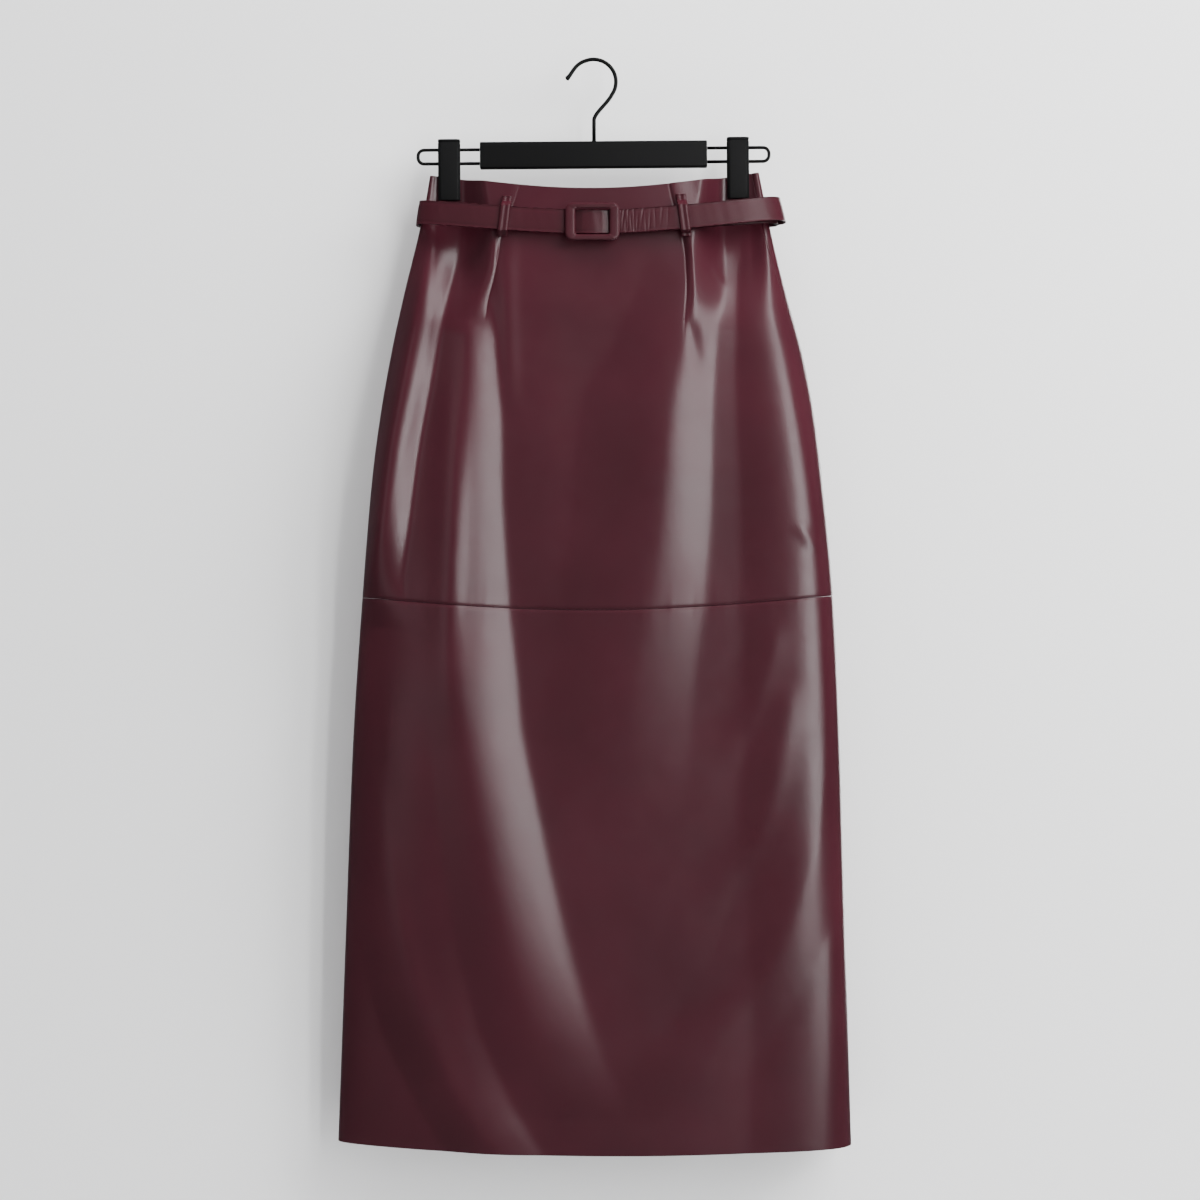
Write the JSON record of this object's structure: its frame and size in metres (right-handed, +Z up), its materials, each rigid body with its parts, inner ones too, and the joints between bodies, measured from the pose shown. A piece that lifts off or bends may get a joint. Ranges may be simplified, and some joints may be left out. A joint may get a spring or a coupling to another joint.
{
  "type": "leather skirt on a clip hanger",
  "caption": "High-waisted midi skirt in burgundy leather with stitched front tucks, a cross seam and a covered-buckle belt, held by a black clip hanger.",
  "frame": {"origin": "the inner top of the hook, where a rod carries the hanger", "axes": "+Z up, +X along the hanger to the right as seen from the front, the front of the skirt faces -Y"},
  "size_m": [0.5125, 0.09, 1.092],
  "materials": {
    "skirt_leather": "semi-gloss smooth burgundy leather with a fine grain",
    "belt_leather": "semi-gloss burgundy leather, a little more matt than the panels",
    "black_lacquer": "matt black lacquer",
    "black_wire": "satin black coated steel wire",
    "zip_tape": "matt woven tape"
  },
  "bodies": {
    "root": {"front_upper": "skirt_leather", "front_lower": "skirt_leather", "back_upper_left": "skirt_leather", "back_upper_right": "skirt_leather", "back_lower": "skirt_leather", "belt_strap": "belt_leather", "belt_loop_front_left": "belt_leather", "belt_loop_front_right": "belt_leather", "belt_loop_back_left": "belt_leather", "belt_loop_back_right": "belt_leather", "buckle_frame": "belt_leather", "buckle_bar": "black_wire", "zip_tape": "zip_tape", "zip_pull": "black_wire", "hanger_bar": "black_lacquer", "clip_left_front_jaw": "black_lacquer", "clip_left_back_jaw": "black_lacquer", "clip_right_front_jaw": "black_lacquer", "clip_right_back_jaw": "black_lacquer", "hanger_hook": "black_wire", "hanger_wire_left": "black_wire", "hanger_wire_right": "black_wire"}
  },
  "joints": []
}
